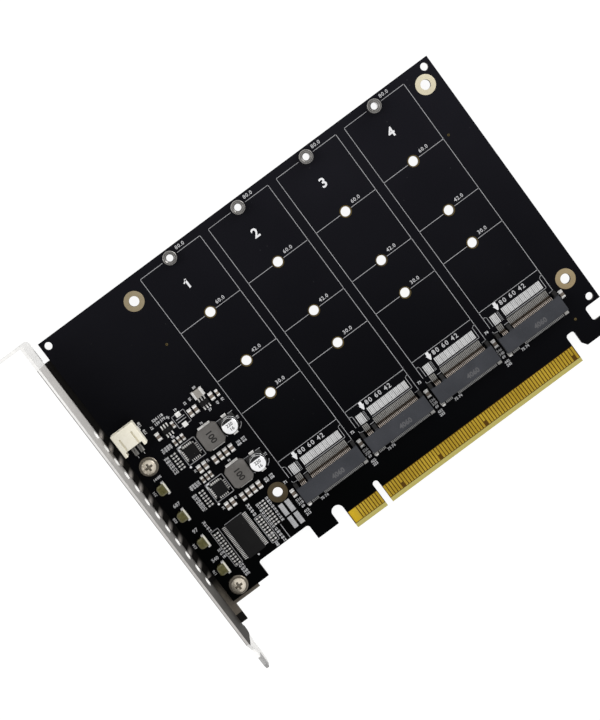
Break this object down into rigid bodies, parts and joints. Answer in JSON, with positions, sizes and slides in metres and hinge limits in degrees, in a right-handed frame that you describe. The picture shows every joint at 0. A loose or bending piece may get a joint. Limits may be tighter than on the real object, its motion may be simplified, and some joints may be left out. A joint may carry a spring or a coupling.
{
  "type": "nvme adapter card",
  "caption": "Black adapter card with an edge connector, sockets and standoffs for storage modules, a fan header and a vented steel slot bracket.",
  "frame": {"origin": "centre of the edge connector's key slot, on the board's bottom edge, halfway through its thickness", "axes": "+X along the edge connector away from the bracket, +Y up the card away from the connector, +Z out of the component side"},
  "size_m": [0.1574, 0.12, 0.0193],
  "materials": {
    "board": "black solder resist",
    "contact_gold": "gold plating",
    "bare_copper": "bare copper under a thin finish",
    "bracket": "bright nickel plating",
    "bracket_screws": "nickel plating",
    "standoff": "nickel plating",
    "socket_plastic": "moulded dark grey plastic",
    "header_plastic": "moulded cream plastic",
    "lens": "olive green resin",
    "lamp_base": "white moulding",
    "choke": "pressed metal powder",
    "can": "bare rolled can",
    "can_base": "black moulding",
    "package": "black moulding compound",
    "ceramic": "tan ceramic",
    "filter_choke": "grey ceramic",
    "resistor": "black glaze",
    "tinned": "tin plating",
    "print": "white printed ink"
  },
  "bodies": {
    "root": {"bracket": "bracket", "bracket_screws": "bracket_screws", "capacitor_large_bodies": "ceramic", "capacitor_large_end_caps": "tinned", "capacitor_small_bodies": "ceramic", "capacitor_small_end_caps": "tinned", "chip_resistors": "resistor", "circuit_board": "board", "clock_buffer": "package", "clock_buffer_leads": "tinned", "converter_1_can": "can", "converter_1_can_base": "can_base", "converter_1_can_leads": "tinned", "converter_1_choke": "choke", "converter_1_choke_terminals": "tinned", "converter_1_controller": "package", "converter_1_controller_pads": "tinned", "converter_2_can": "can", "converter_2_can_base": "can_base", "converter_2_can_leads": "tinned", "converter_2_choke": "choke", "converter_2_choke_terminals": "tinned", "converter_2_controller": "package", "converter_2_controller_pads": "tinned", "edge_contacts_back": "contact_gold", "edge_contacts_front": "contact_gold", "fan_header_housing": "header_plastic", "fan_header_pins": "tinned", "fan_header_tabs": "tinned", "filter_choke_bodies": "filter_choke", "filter_choke_end_caps": "tinned", "hole_rings": "bare_copper", "lamp_1_base": "lamp_base", "lamp_1_lens": "lens", "lamp_2_base": "lamp_base", "lamp_2_lens": "lens", "lamp_3_base": "lamp_base", "lamp_3_lens": "lens", "lamp_4_base": "lamp_base", "lamp_4_lens": "lens", "lamp_terminals": "tinned", "socket_1_housing": "socket_plastic", "socket_1_lower_pins": "tinned", "socket_1_solder_tabs": "tinned", "socket_1_upper_pins": "tinned", "socket_2_housing": "socket_plastic", "socket_2_lower_pins": "tinned", "socket_2_solder_tabs": "tinned", "socket_2_upper_pins": "tinned", "socket_3_housing": "socket_plastic", "socket_3_lower_pins": "tinned", "socket_3_solder_tabs": "tinned", "socket_3_upper_pins": "tinned", "socket_4_housing": "socket_plastic", "socket_4_lower_pins": "tinned", "socket_4_solder_tabs": "tinned", "socket_4_upper_pins": "tinned", "standoffs": "standoff", "switch_bodies": "package", "switch_leads": "tinned"}
  },
  "joints": []
}
